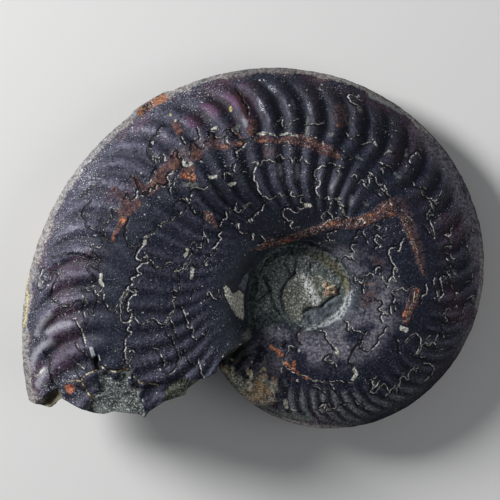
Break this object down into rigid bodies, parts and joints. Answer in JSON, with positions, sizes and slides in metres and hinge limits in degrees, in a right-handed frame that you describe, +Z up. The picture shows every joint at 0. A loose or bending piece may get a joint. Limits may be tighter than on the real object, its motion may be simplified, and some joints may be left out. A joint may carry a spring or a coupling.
{
  "type": "fossil ammonite",
  "caption": "Flat spiral ammonite fossil with sickle-shaped ribs, a narrow keel, a small umbilicus and a broken mouth, lying on one flank.",
  "frame": {"origin": "centre of the bounding box's bottom face, on the surface that the fossil lies on", "axes": "+Z up out of the pictured flank, +X along the fossil's longest extent, away from the broken mouth, +Y towards the top of the disc as pictured"},
  "size_m": [0.0996, 0.0778, 0.0234],
  "materials": {
    "fossil_stone": "dark indigo-grey internal mould with pale suture lines, rusty brown shell remnants and grey-green sediment in the umbilicus"
  },
  "bodies": {
    "root": {"ammonite": "fossil_stone"}
  },
  "joints": []
}
